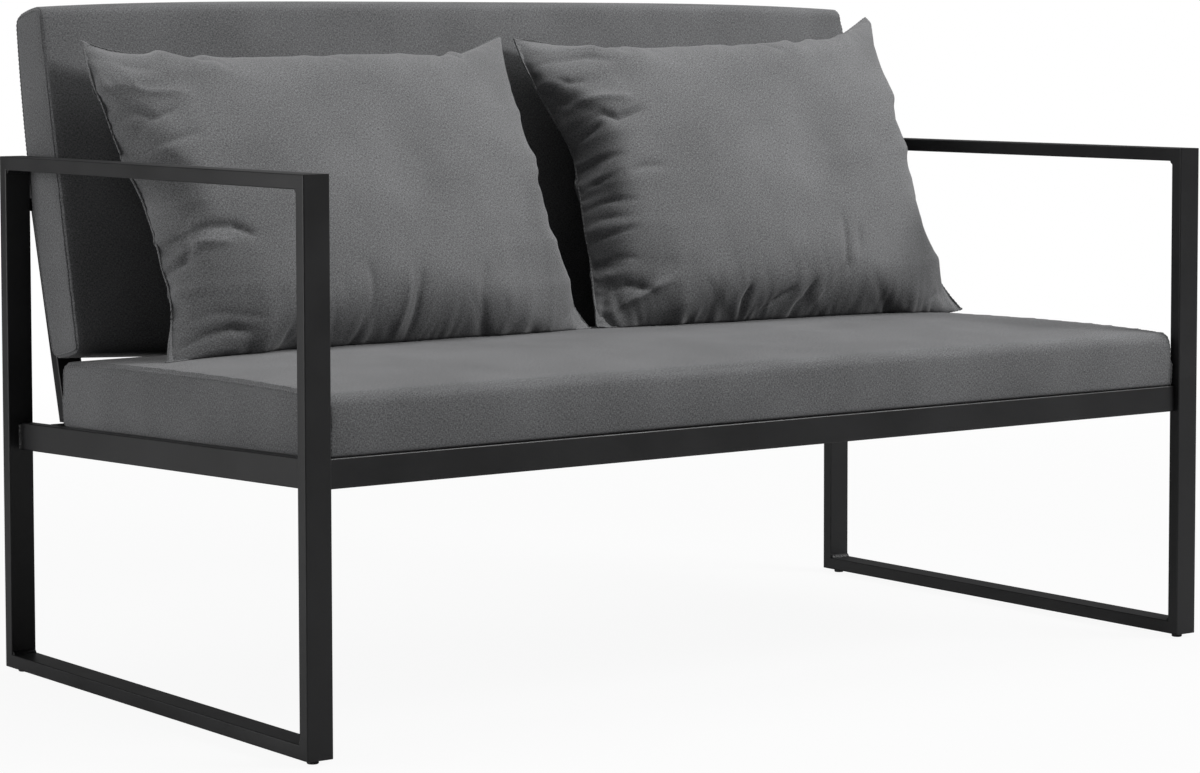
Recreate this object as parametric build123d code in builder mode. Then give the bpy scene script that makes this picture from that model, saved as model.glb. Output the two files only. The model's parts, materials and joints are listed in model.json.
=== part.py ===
from build123d import *
from math import cos, radians, sin, tan
import os

# Two-seat lounge bench: two closed side frames of rectangular steel tube, with a seat frame and a
# leaning back frame bolted between them, two box cushions and two loose pillows.
# Millimetres and degrees. +X runs along the bench, +Y to the back, +Z up, and the floor is Z = 0.

# Whole bench
bench_width = 1220
side_frame_depth = 643
arm_height = 575
glide_height = 5

# Tube stock
tube_wide = 30
tube_thin = 15
tube_wall = 1.2
tube_corner = 1.5
slat_wide = 20
slat_thin = 10
slat_wall = 1
slat_corner = 1

# Seat frame
front_rail_top = 298
front_rail_setback = 7.5
rear_rail_setback = 54.5
seat_tilt = 1.8
slat_count = 5

# Back frame
back_lean = 15.1
back_frame_length = 278
upright_inset = 12
upright_count = 5

# Corner brackets of the seat frame
bracket_plate = 3
bracket_height = 24
bracket_long_leg = 52
bracket_short_leg = 28
bracket_bend = 3
bracket_hole_spacing = 20
bracket_hole_inset = 18

# Stays between the back frame and the rear posts
stay_plate = 3
stay_radius = 7

# Bolts, washers and threaded inserts
bolt_radius = 3
bolt_hole_radius = 3.3
bolt_head_radius = 5
bolt_head_height = 3.3
bolt_head_round = 1.8
hex_key_radius = 2.3
hex_key_depth = 2
frame_bolt_length = 13
foot_bolt_length = 40
washer_radius = 6
washer_thickness = 1.6
insert_radius = 4.5
insert_length = 10
insert_flange_radius = 6
insert_flange = 0.8
thread_clearance = 0.05
insert_clearance = 0.05
plug_length = 10
plug_clearance = 0.1

# Floor glides
glide_radius = 6
glide_round = 1.2
glide_stem_radius = 3
glide_stem_length = 8
glide_stem_clearance = 0.1
glide_inset = 14.5

# Weld beads
loop_bead = 4
rail_bead = 3
slat_bead = 2.5
bead_bulge_share = 0.12

# Cushions
cushion_end_gap = 5
seat_cushion_rear_gap = 30
seat_cushion_edge = 67
seat_cushion_setback = 2
seat_end_crown = 9
seat_middle_crown = 13
seat_side_bulge = 2.5
seat_side_draw = 4
back_cushion_height = 382
back_cushion_edge = 62
back_end_crown = 5
back_middle_crown = 9
back_rear_crown = 5
back_side_bulge = 3
back_top_belly = 8
back_foot_belly = 13
back_cushion_lean = 11.5
back_cushion_rise = 5.4
back_cushion_clearance = 0.8
cushion_edge_radius = 12
seat_cushion_foot_radius = 5
cushion_end_radius = 4.5
cushion_end_draw = 3

# Pillows
pillow_meeting_x = 30
pillow_meeting_gap = 8
pillow_height = 394
pillow_front_bulge = 82
pillow_back_bulge = 46
pillow_end_draw = 18
pillow_top_draw = 22
pillow_bottom_draw = 7
pillow_hem = 3
pillow_sink = 5
left_pillow_arm_gap = 33
left_pillow_foot_gap = 198
left_pillow_lean = 28
left_pillow_turn = 2
left_pillow_roll = 0
right_pillow_arm_gap = 8
right_pillow_foot_gap = 211
right_pillow_lean = 28
right_pillow_turn = -4
right_pillow_roll = 1

# Fits
soft_clearance = 0.3
cut_overrun = 5

# Shares of a cushion's half length at which its sections stand
cushion_station_shares = (-1, -0.55, 0, 0.55, 1)

# Shares of a pillow's bulge, of its outline's sides and of its corners, from the hem to the crown
pillow_rise_shares = (0, 0.36, 0.66, 0.86, 0.96, 0.995)
pillow_size_shares = (1, 0.93, 0.79, 0.56, 0.32, 0.1)
pillow_corner_shares = (1, 0.83, 0.65, 0.44, 0.24, 0.075)

# Places worked out from the sizes above
half_width = bench_width / 2
half_wide = tube_wide / 2
half_thin = tube_thin / 2
inner_half = half_width - tube_wide
seat_half = inner_half - insert_flange
back_half = inner_half - upright_inset
loop_height = arm_height - glide_height
seat_frame_depth = side_frame_depth - front_rail_setback - rear_rail_setback
cushion_length = 2 * (inner_half - cushion_end_gap)
seat_cushion_depth = seat_frame_depth - seat_cushion_rear_gap

# Directions of the two tilted frames and of the back cushion, all square to X
across = Vector(1, 0, 0)
seat_up = Vector(0, sin(radians(seat_tilt)), cos(radians(seat_tilt)))
seat_rearward = Vector(0, cos(radians(seat_tilt)), -sin(radians(seat_tilt)))
back_up = Vector(0, sin(radians(back_lean)), cos(radians(back_lean)))
back_rearward = Vector(0, cos(radians(back_lean)), -sin(radians(back_lean)))
cushion_up = Vector(0, sin(radians(back_cushion_lean)), cos(radians(back_cushion_lean)))
cushion_forward = Vector(0, -cos(radians(back_cushion_lean)), sin(radians(back_cushion_lean)))


def seat_cushion_top(y):
    """Height and slope of the seat cushion's crown, y behind the front rail's face."""
    half = seat_cushion_depth / 2
    share = (y - seat_cushion_setback - half) / half
    height = soft_clearance + seat_cushion_edge + seat_middle_crown * (1 - share**2)
    return height, -2 * seat_middle_crown * share / half


def cushion_section(plane, width, height, side_bulge, top_crown, bottom_crown, foot_radius):
    """Section of a box cushion from its lower corner: shallow arcs between rounded corners."""
    with BuildSketch(plane) as section:
        with BuildLine():
            if bottom_crown:
                ThreePointArc((0, 0), (width / 2, -bottom_crown), (width, 0))
            else:
                Line((0, 0), (width, 0))
            ThreePointArc((width, 0), (width + side_bulge, height / 2), (width, height))
            ThreePointArc((width, height), (width / 2, height + top_crown), (0, height))
            ThreePointArc((0, height), (-side_bulge, height / 2), (0, 0))
        make_face()
        for corner, radius in (
            ((0, 0), foot_radius),
            ((width, 0), foot_radius),
            ((width, height), cushion_edge_radius),
            ((0, height), cushion_edge_radius),
        ):
            fillet(section.vertices().sort_by_distance(corner)[0], radius)
    return section.sketch


def back_cushion_section(plane, fullness):
    """Section of the back cushion, from 0 at its ends to 1 in the middle of its length."""
    foot_belly = back_foot_belly * fullness
    crown = back_end_crown + (back_middle_crown - back_end_crown) * fullness
    start = Plane(plane.origin - plane.x_dir * foot_belly, plane.x_dir, plane.z_dir)
    return cushion_section(
        start,
        back_cushion_height + foot_belly + back_top_belly * fullness,
        back_cushion_edge,
        back_side_bulge,
        crown,
        back_rear_crown,
        cushion_edge_radius,
    )


# The back cushion's lower rear corner at its ends, in the seat plane from the front rail's face,
# stands just in front of the uprights; between its ends the cushion sags down on the seat cushion
upright_front_y = seat_frame_depth - tube_thin
cushion_foot_z = soft_clearance + seat_cushion_edge + back_cushion_rise
upright_slope = tan(radians(back_lean - seat_tilt))
cushion_foot_y = (
    upright_front_y + (cushion_foot_z - washer_thickness) * upright_slope - back_cushion_clearance
)

# The bench reaches from the front posts to the back cushion's top, and is centred on that reach
level_plane = Plane(origin=(0, 0, 0), x_dir=across, z_dir=seat_up)
level_foot = level_plane.from_local_coords((0, cushion_foot_y, cushion_foot_z))
reach_section = back_cushion_section(Plane(level_foot, cushion_up, across), 0)
overall_depth = front_rail_setback + reach_section.bounding_box().max.Y
front_y = -overall_depth / 2
rear_y = front_y + side_frame_depth

# The seat plane lies on the rails' tops, with its origin on the front rail's upper front edge
seat_plane = Plane(
    origin=(0, front_y + front_rail_setback, front_rail_top), x_dir=across, z_dir=seat_up
)


def in_seat(x, y, z):
    """A point given in the seat plane: y behind the front rail's face, z over the rails' tops."""
    return seat_plane.from_local_coords((x, y, z))


# The back plane stands on the washers, with its origin on the uprights' front face
back_plane = Plane(origin=in_seat(0, upright_front_y, washer_thickness), x_dir=across, z_dir=back_up)


def in_back(x, y, z):
    """A point given in the back plane: y behind the uprights' front face, z up along them."""
    return back_plane.from_local_coords((x, y, z))


# Places of the fasteners and glides
front_holes = (
    tube_thin + bracket_hole_inset,
    tube_thin + bracket_hole_inset + bracket_hole_spacing,
)
rear_holes = tuple(seat_frame_depth - y for y in front_holes)
foot_bolt_y = seat_frame_depth - half_thin
stay_bolt_x = half_width - half_wide
stay_middle_y = rear_y + insert_flange + stay_plate / 2
stay_rise = (stay_middle_y - in_back(0, half_thin, 0).Y) / back_up.Y
stay_bolt_z = in_back(0, half_thin, stay_rise).Z
upright_span = 2 * back_half - tube_wide
upright_xs = [(i / (upright_count - 1) - 0.5) * upright_span for i in range(upright_count)]
slat_pitch = 2 * seat_half / (slat_count + 1)
slat_xs = [(i + 1) * slat_pitch - seat_half for i in range(slat_count)]


def save(builder, name):
    """Label one finished piece and write its STEP file."""
    builder.part.label = name
    os.makedirs("parts", exist_ok=True)
    export_step(builder.part, f"parts/{name}.step")


def tube(start, wide_along, direction, length, wide, thin, wall, corner):
    """A rectangular tube from a point on its centre line, its wide side along wide_along."""
    with BuildSketch(Plane(origin=start, x_dir=wide_along, z_dir=direction)) as section:
        RectangleRounded(wide, thin, corner)
        Rectangle(wide - 2 * wall, thin - 2 * wall, mode=Mode.SUBTRACT)
    extrude(section.sketch, amount=length)


def frame_tube(start, wide_along, direction, length):
    """A length of the bench's main tube."""
    tube(start, wide_along, direction, length, tube_wide, tube_thin, tube_wall, tube_corner)


def trim(point, keep):
    """Cut the part through a point and keep the side that the direction points to."""
    split(bisect_by=Plane(origin=point, z_dir=keep), keep=Keep.TOP)


def hole(centre, outward, radius, depth):
    """A round hole sunk from a point on a face."""
    with BuildSketch(Plane(origin=centre, z_dir=outward)) as circle:
        Circle(radius)
    extrude(circle.sketch, amount=-depth, mode=Mode.SUBTRACT)


def bead(corner, along, first_leg, length, size):
    """A weld bead in a square corner, with a slightly bulged face."""
    middle = size * (0.5 + bead_bulge_share)
    with BuildSketch(Plane(origin=corner, x_dir=first_leg, z_dir=along)) as section:
        with BuildLine():
            Line((0, 0), (size, 0))
            ThreePointArc((size, 0), (middle, middle), (0, size))
            Line((0, size), (0, 0))
        make_face()
    extrude(section.sketch, amount=length)


def glide_places(side):
    """The two glides' places on the underside of a base rail."""
    x = side * (half_width - half_wide)
    return [(x, front_y + glide_inset, glide_height), (x, rear_y - glide_inset, glide_height)]


def stay_bolt_place(side, y):
    """A point on the axis of a stay's bolt, y behind the rear post's rear face."""
    return (side * stay_bolt_x, rear_y + y, stay_bolt_z)


# Side frames: a closed loop of four mitred tubes with a side rail across it
for side, hand in ((-1, "left"), (1, "right")):
    loop_x = side * (half_width - half_wide)

    with BuildPart() as front_post:
        frame_tube((loop_x, front_y + half_thin, glide_height), across, (0, 0, 1), loop_height)
        trim((0, front_y, glide_height), (0, -1, 1))
        trim((0, front_y, arm_height), (0, -1, -1))
    save(front_post, f"{hand}_front_post")

    with BuildPart() as rear_post:
        frame_tube((loop_x, rear_y - half_thin, glide_height), across, (0, 0, 1), loop_height)
        trim((0, rear_y, glide_height), (0, 1, 1))
        trim((0, rear_y, arm_height), (0, 1, -1))
        hole(stay_bolt_place(side, 0), (0, 1, 0), insert_radius + insert_clearance, half_thin)
    save(rear_post, f"{hand}_rear_post")

    with BuildPart() as arm_rail:
        frame_tube((loop_x, front_y, arm_height - half_thin), across, (0, 1, 0), side_frame_depth)
        trim((0, front_y, arm_height), (0, 1, 1))
        trim((0, rear_y, arm_height), (0, -1, 1))
    save(arm_rail, f"{hand}_arm_rail")

    with BuildPart() as base_rail:
        frame_tube((loop_x, front_y, glide_height + half_thin), across, (0, 1, 0), side_frame_depth)
        trim((0, front_y, glide_height), (0, 1, -1))
        trim((0, rear_y, glide_height), (0, -1, -1))
        for place in glide_places(side):
            hole(place, (0, 0, -1), glide_stem_radius + glide_stem_clearance, half_thin)
    save(base_rail, f"{hand}_base_rail")

    with BuildPart() as side_rail:
        rail_x = side * (inner_half + half_thin)
        start = in_seat(rail_x, -front_rail_setback, -half_wide)
        frame_tube(start, seat_up, seat_rearward, side_frame_depth)
        trim((0, front_y + tube_thin, 0), (0, 1, 0))
        trim((0, rear_y - tube_thin, 0), (0, -1, 0))
        for y in front_holes + rear_holes:
            place = in_seat(side * inner_half, y, -half_wide)
            hole(place, (-side, 0, 0), insert_radius + insert_clearance, half_thin)
    save(side_rail, f"{hand}_side_rail")

    with BuildPart() as frame_welds:
        bead_x = loop_x - half_wide + tube_corner
        low = glide_height + tube_thin
        high = arm_height - tube_thin
        front = front_y + tube_thin
        rear = rear_y - tube_thin
        bead_width = tube_wide - 2 * tube_corner
        bead((bead_x, front, low), across, (0, 1, 0), bead_width, loop_bead)
        bead((bead_x, rear, low), across, (0, 0, 1), bead_width, loop_bead)
        bead((bead_x, rear, high), across, (0, -1, 0), bead_width, loop_bead)
        bead((bead_x, front, high), across, (0, 0, -1), bead_width, loop_bead)
        outward = (side, 0, 0)
        for y, along_rail in ((front, (0, 1, 0)), (rear, (0, -1, 0))):
            rail_low = in_seat(0, y - front_y - front_rail_setback, -tube_wide).Z + tube_corner
            bead_start = (side * (inner_half + tube_thin), y, rail_low)
            first_leg = outward if side * along_rail[1] > 0 else along_rail
            bead(bead_start, (0, 0, 1), first_leg, bead_width, rail_bead)
    save(frame_welds, f"{hand}_frame_welds")


# Floor glides: a round pad under each end of a base rail, with a stem pressed into it
with BuildPart() as glide:
    with BuildSketch(Plane.XY):
        Circle(glide_radius)
    extrude(amount=-glide_height)
    fillet(glide.edges().group_by(Axis.Z)[0], glide_round)
    with BuildSketch(Plane.XY):
        Circle(glide_stem_radius)
    extrude(amount=glide_stem_length)

for side, hand in ((-1, "left"), (1, "right")):
    for place, end in zip(glide_places(side), ("front", "rear")):
        with BuildPart() as placed_glide:
            with Locations(place):
                add(glide.part)
        save(placed_glide, f"{end}_{hand}_glide")


# Seat frame: two rails across the bench, slats welded between them and a bracket at each corner
with BuildPart() as front_seat_rail:
    frame_tube(in_seat(-seat_half, half_thin, -half_wide), seat_up, across, 2 * seat_half)
save(front_seat_rail, "front_seat_rail")

with BuildPart() as rear_seat_rail:
    frame_tube(in_seat(-seat_half, foot_bolt_y, -half_wide), seat_up, across, 2 * seat_half)
    for x in upright_xs:
        hole(in_seat(x, foot_bolt_y, 0), seat_up, bolt_hole_radius, tube_wide + cut_overrun)
save(rear_seat_rail, "rear_seat_rail")

slat_length = seat_frame_depth - 2 * tube_thin
for i, x in enumerate(slat_xs):
    with BuildPart() as seat_slat:
        start = in_seat(x, tube_thin, -slat_thin / 2)
        tube(start, across, seat_rearward, slat_length, slat_wide, slat_thin, slat_wall, slat_corner)
    save(seat_slat, f"seat_slat_{i + 1}")

with BuildPart() as seat_frame_welds:
    for x in slat_xs:
        start_x = x - slat_wide / 2 + slat_corner
        width = slat_wide - 2 * slat_corner
        bead(in_seat(start_x, tube_thin, -slat_thin), across, -seat_up, width, slat_bead)
        rear_corner = in_seat(start_x, upright_front_y, -slat_thin)
        bead(rear_corner, across, -seat_rearward, width, slat_bead)
save(seat_frame_welds, "seat_frame_welds")

bracket_low = -half_wide - bracket_height / 2
for side, hand in ((-1, "left"), (1, "right")):
    for end, name, y, holes in (
        (1, "front", tube_thin, front_holes),
        (-1, "rear", upright_front_y, rear_holes),
    ):
        with BuildPart() as corner_bracket:
            corner = in_seat(side * seat_half, y, bracket_low)
            with BuildSketch(Plane(origin=corner, x_dir=across, z_dir=seat_up)) as angle:
                with BuildLine():
                    Polyline(
                        (0, 0),
                        (-side * bracket_short_leg, 0),
                        (-side * bracket_short_leg, end * bracket_plate),
                        (-side * bracket_plate, end * bracket_plate),
                        (-side * bracket_plate, end * bracket_long_leg),
                        (0, end * bracket_long_leg),
                        close=True,
                    )
                make_face()
                bend = angle.vertices().sort_by_distance((0, 0))[1]
                fillet(bend, bracket_bend)
            extrude(amount=bracket_height)
            for hole_y in holes:
                inner_face = in_seat(side * (seat_half - bracket_plate), hole_y, -half_wide)
                hole(inner_face, (-side, 0, 0), bolt_hole_radius, bracket_plate + cut_overrun)
        save(corner_bracket, f"{name}_{hand}_bracket")


# Back frame: leaning uprights on the rear seat rail under a mitred top rail
def back_corner_trim(side, keep_x, keep_up):
    """Mitre a tube of the back frame through the frame's upper outer corner."""
    corner = in_back(side * back_half, 0, back_frame_length)
    trim(corner, across * side * keep_x + back_up * keep_up)


for i, x in enumerate(upright_xs):
    outer = i in (0, upright_count - 1)
    with BuildPart() as upright:
        rise = back_frame_length if outer else back_frame_length - tube_wide
        frame_tube(in_back(x, half_thin, -tube_thin), across, back_up, rise + tube_thin)
        trim(in_seat(0, 0, washer_thickness), seat_up)
        if outer:
            back_corner_trim(1 if x > 0 else -1, 1, -1)
    save(upright, f"back_upright_{i + 1}")

with BuildPart() as back_top_rail:
    start = in_back(-back_half, half_thin, back_frame_length - half_wide)
    frame_tube(start, back_up, across, 2 * back_half)
    for side in (-1, 1):
        back_corner_trim(side, -1, 1)
save(back_top_rail, "back_top_rail")

with BuildPart() as back_frame_welds:
    rail_low = back_frame_length - tube_wide
    bead_width = tube_thin - 2 * tube_corner
    for i, x in enumerate(upright_xs):
        if i > 0:
            left_corner = in_back(x - half_wide, tube_corner, rail_low)
            bead(left_corner, back_rearward, -back_up, bead_width, rail_bead)
        if i < upright_count - 1:
            right_corner = in_back(x + half_wide, tube_corner, rail_low)
            bead(right_corner, back_rearward, across, bead_width, rail_bead)
save(back_frame_welds, "back_frame_welds")

# Threaded plugs in the uprights' feet
with BuildPart() as upright_plugs:
    for x in upright_xs:
        foot = in_back(x, half_thin, -tube_thin)
        with BuildSketch(Plane(origin=foot, x_dir=across, z_dir=back_up)) as plug:
            Rectangle(
                tube_wide - 2 * (tube_wall + plug_clearance),
                tube_thin - 2 * (tube_wall + plug_clearance),
            )
        extrude(plug.sketch, amount=tube_thin + plug_length)
    trim(in_seat(0, 0, washer_thickness), seat_up)
    for x in upright_xs:
        hole(in_seat(x, foot_bolt_y, 0), -seat_up, bolt_radius + thread_clearance, 2 * plug_length)
save(upright_plugs, "upright_plugs")

# Stays: a plate on each outer upright's side, bolted to the rear face of the rear post
stay_reach = stay_bolt_x - back_half
for side, hand in ((-1, "left"), (1, "right")):
    with BuildPart() as back_stay:
        bolt_place = stay_bolt_place(side, insert_flange)
        with BuildSketch(Plane(origin=bolt_place, x_dir=(-side, 0, 0), z_dir=(0, 1, 0))):
            Circle(stay_radius)
            with Locations((stay_reach / 2, 0)):
                Rectangle(stay_reach, 2 * stay_radius)
            Circle(bolt_hole_radius, mode=Mode.SUBTRACT)
        extrude(amount=stay_plate)
    save(back_stay, f"{hand}_back_stay")


# Fasteners: button-head bolts, washers and threaded inserts
def button_bolt(length):
    """A bolt down the Z axis, with its head's underside on the XY plane."""
    with BuildPart() as bolt:
        with BuildSketch(Plane.XY):
            Circle(bolt_head_radius)
        extrude(amount=bolt_head_height)
        fillet(bolt.edges().group_by(Axis.Z)[-1], bolt_head_round)
        with BuildSketch(Plane.XY.offset(bolt_head_height)):
            RegularPolygon(hex_key_radius, 6)
        extrude(amount=-hex_key_depth, mode=Mode.SUBTRACT)
        with BuildSketch(Plane.XY):
            Circle(bolt_radius)
        extrude(amount=-length)
    return bolt.part


with BuildPart() as washer:
    with BuildSketch(Plane.XY):
        Circle(washer_radius)
        Circle(bolt_hole_radius, mode=Mode.SUBTRACT)
    extrude(amount=washer_thickness)

with BuildPart() as threaded_insert:
    with BuildSketch(Plane.XY):
        Circle(insert_flange_radius)
    extrude(amount=insert_flange)
    with BuildSketch(Plane.XY):
        Circle(insert_radius)
    extrude(amount=-insert_length)
    with BuildSketch(Plane.XY.offset(insert_flange)):
        Circle(bolt_radius + thread_clearance)
    extrude(amount=-insert_flange - insert_length, mode=Mode.SUBTRACT)


def bracket_places(x):
    """Places on the axes of the eight bracket bolts, x from the middle of the bench."""
    return [
        Plane(origin=in_seat(side * x, y, -half_wide), z_dir=(-side, 0, 0))
        for side in (-1, 1)
        for y in front_holes + rear_holes
    ]


def stay_places(y):
    """Places on the axes of the two stay bolts, y behind the rear posts' rear faces."""
    return [Plane(origin=stay_bolt_place(side, y), z_dir=(0, 1, 0)) for side in (-1, 1)]


def foot_places(z, outward):
    """Places on the axes of the uprights' bolts, z over the seat plane."""
    return [Plane(origin=in_seat(x, foot_bolt_y, z), z_dir=outward) for x in upright_xs]


fastener_groups = {
    "side_rail_inserts": (threaded_insert.part, bracket_places(inner_half)),
    "bracket_washers": (washer.part, bracket_places(seat_half - bracket_plate)),
    "bracket_bolts": (
        button_bolt(frame_bolt_length),
        bracket_places(seat_half - bracket_plate - washer_thickness),
    ),
    "rear_post_inserts": (threaded_insert.part, stay_places(0)),
    "stay_washers": (washer.part, stay_places(insert_flange + stay_plate)),
    "stay_bolts": (
        button_bolt(frame_bolt_length),
        stay_places(insert_flange + stay_plate + washer_thickness),
    ),
    "foot_spacers": (washer.part, foot_places(0, seat_up)),
    "foot_washers": (washer.part, foot_places(-tube_wide, -seat_up)),
    "foot_bolts": (
        button_bolt(foot_bolt_length),
        foot_places(-tube_wide - washer_thickness, -seat_up),
    ),
}
for name, (fastener, places) in fastener_groups.items():
    with BuildPart() as group:
        with Locations(*places):
            add(fastener)
    save(group, name)


# Cushions
def round_ends(cushion, width_along, width):
    """Draw a cushion's end faces in between their corners and round their edges."""
    radius = (width**2 / 4 + cushion_end_draw**2) / (2 * cushion_end_draw)
    for side in (-1, 1):
        middle = cushion.part.center() + across * side * (cushion_length / 2 - cushion_end_draw + radius)
        middle_plane = Plane(origin=middle, x_dir=across, z_dir=across.cross(width_along))
        with BuildSketch(middle_plane) as draw:
            Circle(radius)
        extrude(draw.sketch, amount=width, both=True, mode=Mode.SUBTRACT)
    for order in (0, -1):
        fillet(cushion.faces().sort_by(Axis.X)[order].edges(), cushion_end_radius)


with BuildPart() as seat_cushion:
    seat_sections = []
    for share in cushion_station_shares:
        fullness = 1 - share**2
        draw = seat_side_draw * fullness
        crown = seat_end_crown + (seat_middle_crown - seat_end_crown) * fullness
        start = in_seat(share * cushion_length / 2, seat_cushion_setback + draw, soft_clearance)
        seat_sections.append(
            cushion_section(
                Plane(start, seat_rearward, across),
                seat_cushion_depth - 2 * draw,
                seat_cushion_edge,
                seat_side_bulge,
                crown,
                0,
                seat_cushion_foot_radius,
            )
        )
    loft(seat_sections)
    round_ends(seat_cushion, seat_rearward, seat_cushion_depth)
save(seat_cushion, "seat_cushion")

# The space over the seat cushion's top, less the clearance that soft pieces keep to it
seat_keepout = seat_cushion.part.moved(Location(seat_up * soft_clearance))

with BuildPart() as back_cushion:
    back_sections = []
    for share in cushion_station_shares:
        start = in_seat(share * cushion_length / 2, cushion_foot_y, cushion_foot_z)
        back_sections.append(back_cushion_section(Plane(start, cushion_up, across), 1 - share**2))
    loft(back_sections)
    round_ends(back_cushion, cushion_up, back_cushion_height)
    add(seat_keepout, mode=Mode.SUBTRACT)
save(back_cushion, "back_cushion")

back_keepout = back_cushion.part.moved(Location(cushion_forward * soft_clearance))


# Pillows: two lofted halves joined at a flat hem, pressed flat where they touch the cushions
def pillow_outline(plane, length, side_share, corner_share):
    """A pillow's outline at a share of its size: pointed at the hem, rounder towards the crown."""
    corner_x = corner_share * length / 2
    corner_y = corner_share * pillow_height / 2
    side_x = side_share * (length / 2 - pillow_end_draw)
    top_y = side_share * (pillow_height / 2 - pillow_top_draw)
    bottom_y = side_share * (pillow_height / 2 - pillow_bottom_draw)
    with BuildSketch(plane) as outline:
        with BuildLine():
            ThreePointArc((-corner_x, -corner_y), (0, -bottom_y), (corner_x, -corner_y))
            ThreePointArc((corner_x, -corner_y), (side_x, 0), (corner_x, corner_y))
            ThreePointArc((corner_x, corner_y), (0, top_y), (-corner_x, corner_y))
            ThreePointArc((-corner_x, corner_y), (-side_x, 0), (-corner_x, -corner_y))
        make_face()
    return outline.sketch


def pillow_half(plane, length, side, bulge):
    """Loft one side of a pillow from its hem to its crown."""
    sections = []
    for rise, side_share, corner_share in zip(
        pillow_rise_shares, pillow_size_shares, pillow_corner_shares
    ):
        height = side * (pillow_hem / 2 + rise * bulge)
        sections.append(pillow_outline(plane.offset(height), length, side_share, corner_share))
    loft(sections)


def pillow_plane(x, foot_y, lean, turn, roll):
    """The plane of a pillow's hem, with its normal to the front and its X to the right."""
    foot = in_seat(x, foot_y, seat_cushion_top(foot_y)[0] - pillow_sink)
    right = Vector(1, 0, 0).rotate(Axis.Z, turn)
    forward = Vector(0, -cos(radians(lean)), sin(radians(lean))).rotate(Axis.Z, turn)
    centre = foot + forward.cross(right) * (pillow_height / 2)
    return Plane(origin=centre, x_dir=right, z_dir=forward).rotated((0, 0, roll))


def trim_pillow_foot(foot_y):
    """Press a pillow's foot flat on the plane that touches the seat cushion's crown under it."""
    height, slope = seat_cushion_top(foot_y)
    crown_up = (seat_up - seat_rearward * slope).normalized()
    trim(in_seat(0, foot_y, height) + crown_up * soft_clearance, crown_up)


# Each pillow reaches from near its arm to near the other pillow
pillows = {
    "left_pillow": (
        left_pillow_arm_gap - inner_half,
        pillow_meeting_x - pillow_meeting_gap / 2,
        cushion_foot_y - left_pillow_foot_gap,
        (left_pillow_lean, left_pillow_turn, left_pillow_roll),
    ),
    "right_pillow": (
        pillow_meeting_x + pillow_meeting_gap / 2,
        inner_half - right_pillow_arm_gap,
        cushion_foot_y - right_pillow_foot_gap,
        (right_pillow_lean, right_pillow_turn, right_pillow_roll),
    ),
}
for name, (left_x, right_x, foot_y, angles) in pillows.items():
    plane = pillow_plane((left_x + right_x) / 2, foot_y, *angles)
    length = right_x - left_x
    with BuildPart() as pillow:
        extrude(pillow_outline(plane, length, 1, 1), amount=pillow_hem / 2, both=True)
        pillow_half(plane, length, 1, pillow_front_bulge)
        pillow_half(plane, length, -1, pillow_back_bulge)
        trim_pillow_foot(foot_y)
        add(back_keepout, mode=Mode.SUBTRACT)
    save(pillow, name)
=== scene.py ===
import json
from math import cos, pi, radians, sin

import bpy
import numpy as np
from mathutils import Matrix, Vector, noise
from mathutils.bvhtree import BVHTree


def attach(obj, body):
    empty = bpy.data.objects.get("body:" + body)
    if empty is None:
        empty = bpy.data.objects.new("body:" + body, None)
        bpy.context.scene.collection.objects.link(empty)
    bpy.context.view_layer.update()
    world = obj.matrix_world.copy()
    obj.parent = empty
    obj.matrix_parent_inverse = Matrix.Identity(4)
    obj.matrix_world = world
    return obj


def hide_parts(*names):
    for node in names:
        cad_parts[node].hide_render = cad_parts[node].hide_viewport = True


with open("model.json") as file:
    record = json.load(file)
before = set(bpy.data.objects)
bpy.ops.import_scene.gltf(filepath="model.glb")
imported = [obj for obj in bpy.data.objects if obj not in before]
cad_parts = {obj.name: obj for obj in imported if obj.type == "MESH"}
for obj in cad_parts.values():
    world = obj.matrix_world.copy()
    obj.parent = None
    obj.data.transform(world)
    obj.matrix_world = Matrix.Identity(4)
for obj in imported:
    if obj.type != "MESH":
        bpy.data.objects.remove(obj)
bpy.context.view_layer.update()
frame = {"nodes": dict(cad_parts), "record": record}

# A two-seat lounge bench: black tube frame, two box cushions and two loose pillows. Lengths are
# in metres and angles in degrees.
MILLIMETRE = 0.001

# Camera: its place, its right, up and backward axes, and its lens
CAMERA_PLACE = (-2.34178, -3.16995, 0.70897)
CAMERA_RIGHT = (0.805777, -0.592216, -0.00176)
CAMERA_UP = (0.039943, 0.051382, 0.99788)
CAMERA_BACK = (-0.590871, -0.804139, 0.065057)
SENSOR_WIDTH = 36
LENS = 103.802
LENS_SHIFT_Y = -0.10587

# Stage and light. A lamp is its place, its size and its power. The share of the floor's glow
# that the camera sees rises from one value to the other over a reach of distances from the bench.
FLOOR_SIZE = 60
WHITE = (1, 1, 1, 1)
FLOOR_COLOUR = (0.4, 0.4, 0.4, 1)
FLOOR_ROUGHNESS = 0.9
FLOOR_GLOWS = (0.93, 1)
FLOOR_GLOW_REACH = (1.2, 3.2)
WORLD_LEVEL = 0.14
LAMPS = {
    "key": ((2.2, -2.3, 2.9), (1.6, 1.3), 178),
    "side": ((-3.2, 0.9, 0.9), (2.4, 1.6), 62),
    "top": ((0.4, 0.2, 3.6), (2.4, 1.5), 92),
}
LAMP_AIM = (0, 0, 0.4)

# Colours, linear
COAT_COLOUR = (0.005, 0.005, 0.0054, 1)
ZINC_COLOUR = (0.46, 0.47, 0.48, 1)
PLASTIC_COLOUR = (0.014, 0.014, 0.014, 1)
CUSHION_COLOUR = (0.105, 0.106, 0.109)
PILLOW_COLOUR = (0.122, 0.123, 0.126)
THREAD_COLOUR = (0.05, 0.05, 0.052, 1)

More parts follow.
